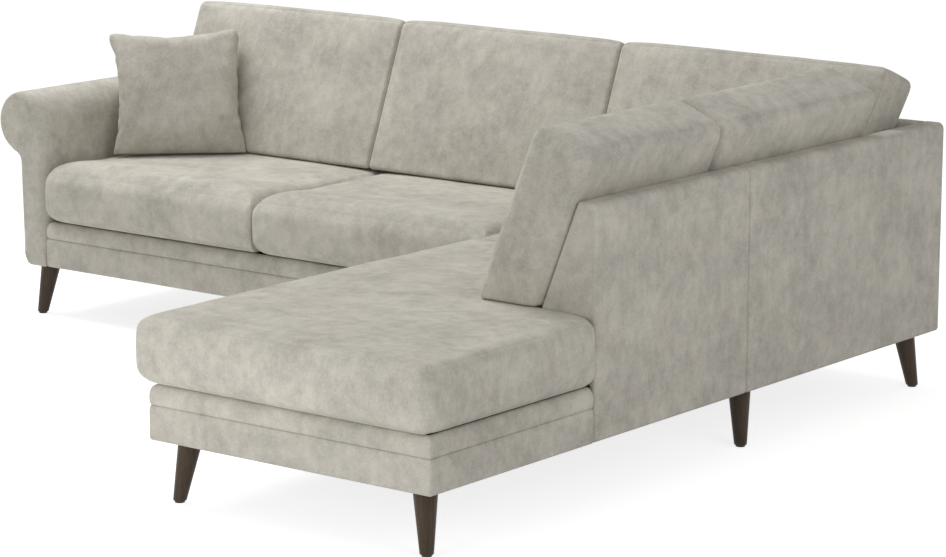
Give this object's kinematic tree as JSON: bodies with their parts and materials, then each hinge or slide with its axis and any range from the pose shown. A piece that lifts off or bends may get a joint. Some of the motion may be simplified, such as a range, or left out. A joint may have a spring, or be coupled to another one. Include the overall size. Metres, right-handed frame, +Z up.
{
  "type": "corner sofa with chaise",
  "caption": "Upholstered corner sofa with a roll arm at one end, an open-ended chaise at the other, loose seat, back and side cushions, and splayed wooden legs.",
  "frame": {"origin": "on the floor, under the middle of the sofa's plan", "axes": "+X to the right along the main back, +Y to the back, +Z up"},
  "size_m": [2.711, 2.239, 0.879],
  "materials": {
    "greige_velvet": "matte",
    "pillow_velvet": "matte",
    "lining_cloth": "matte",
    "webbing_strap": "matte",
    "frame_timber": "matte",
    "wenge_wood": "satin",
    "zinc_steel": "satin",
    "glide_plastic": "matte"
  },
  "bodies": {
    "carcass": {"arm_back_facing": "greige_velvet", "arm_cover": "greige_velvet", "arm_frame": "frame_timber", "arm_front_facing": "greige_velvet", "chaise_base_cover": "greige_velvet", "chaise_base_frame": "frame_timber", "chaise_dust_cover": "lining_cloth", "chaise_seat_deck": "lining_cloth", "chaise_side_cover": "greige_velvet", "chaise_side_frame": "frame_timber", "chaise_webbing": "webbing_strap", "connector_plates": "zinc_steel", "corner_back_cover": "greige_velvet", "corner_back_frame": "frame_timber", "corner_base_cover": "greige_velvet", "corner_base_frame": "frame_timber", "corner_dust_cover": "lining_cloth", "corner_seat_deck": "lining_cloth", "corner_side_cover": "greige_velvet", "corner_side_frame": "frame_timber", "corner_webbing": "webbing_strap", "left_back_cover": "greige_velvet", "left_back_frame": "frame_timber", "left_base_cover": "greige_velvet", "left_base_frame": "frame_timber", "left_dust_cover": "lining_cloth", "left_seat_deck": "lining_cloth", "left_webbing": "webbing_strap", "leg_arm_back": "wenge_wood", "leg_arm_front": "wenge_wood", "leg_chaise_left": "wenge_wood", "leg_chaise_right": "wenge_wood", "leg_corner_back": "wenge_wood", "leg_corner_front": "wenge_wood", "leg_corner_inner_back": "wenge_wood", "leg_corner_inner_front": "wenge_wood", "leg_glides": "glide_plastic", "leg_left_inner_back": "wenge_wood", "leg_left_inner_front": "wenge_wood", "leg_plates": "zinc_steel"},
    "left_seat": {"seat_cushion_left": "greige_velvet"},
    "middle_seat": {"seat_cushion_middle": "greige_velvet"},
    "corner_seat": {"seat_cushion_corner": "greige_velvet"},
    "chaise_seat": {"seat_cushion_chaise": "greige_velvet"},
    "left_back_cushion": {"back_cushion_left": "greige_velvet"},
    "middle_back_cushion": {"back_cushion_middle": "greige_velvet"},
    "corner_back_cushion": {"back_cushion_corner": "greige_velvet"},
    "rear_side_cushion": {"side_cushion_rear": "greige_velvet"},
    "front_side_cushion": {"side_cushion_front": "greige_velvet"},
    "pillow": {"throw_pillow": "pillow_velvet"}
  },
  "joints": [
    {"name": "left_seat_slide", "type": "slide", "parent": "carcass", "child": "left_seat", "axis": [0, -1, 0], "range_m": [0, 0.3]},
    {"name": "middle_seat_slide", "type": "slide", "parent": "carcass", "child": "middle_seat", "axis": [0, -1, 0], "range_m": [0, 0.3]},
    {"name": "chaise_seat_slide", "type": "slide", "parent": "carcass", "child": "chaise_seat", "axis": [0, -1, 0], "range_m": [0, 0.6]},
    {"name": "corner_seat_lift", "type": "slide", "parent": "carcass", "child": "corner_seat", "axis": [0, 0, 1], "range_m": [0, 0.5]},
    {"name": "left_back_lift", "type": "slide", "parent": "carcass", "child": "left_back_cushion", "axis": [0, 0.3665, 0.9304], "range_m": [0, 0.5]},
    {"name": "middle_back_lift", "type": "slide", "parent": "carcass", "child": "middle_back_cushion", "axis": [0, 0.3665, 0.9304], "range_m": [0, 0.5]},
    {"name": "corner_back_lift", "type": "slide", "parent": "corner_seat", "child": "corner_back_cushion", "axis": [0, 0.3665, 0.9304], "range_m": [0, 0.5]},
    {"name": "rear_side_lift", "type": "slide", "parent": "corner_seat", "child": "rear_side_cushion", "axis": [0.3665, 0, 0.9304], "range_m": [0, 0.5]},
    {"name": "front_side_lift", "type": "slide", "parent": "carcass", "child": "front_side_cushion", "axis": [0.3665, 0, 0.9304], "range_m": [0, 0.5]},
    {"name": "pillow_lift", "type": "slide", "parent": "left_seat", "child": "pillow", "axis": [0, 0, 1], "range_m": [0, 0.5]}
  ]
}
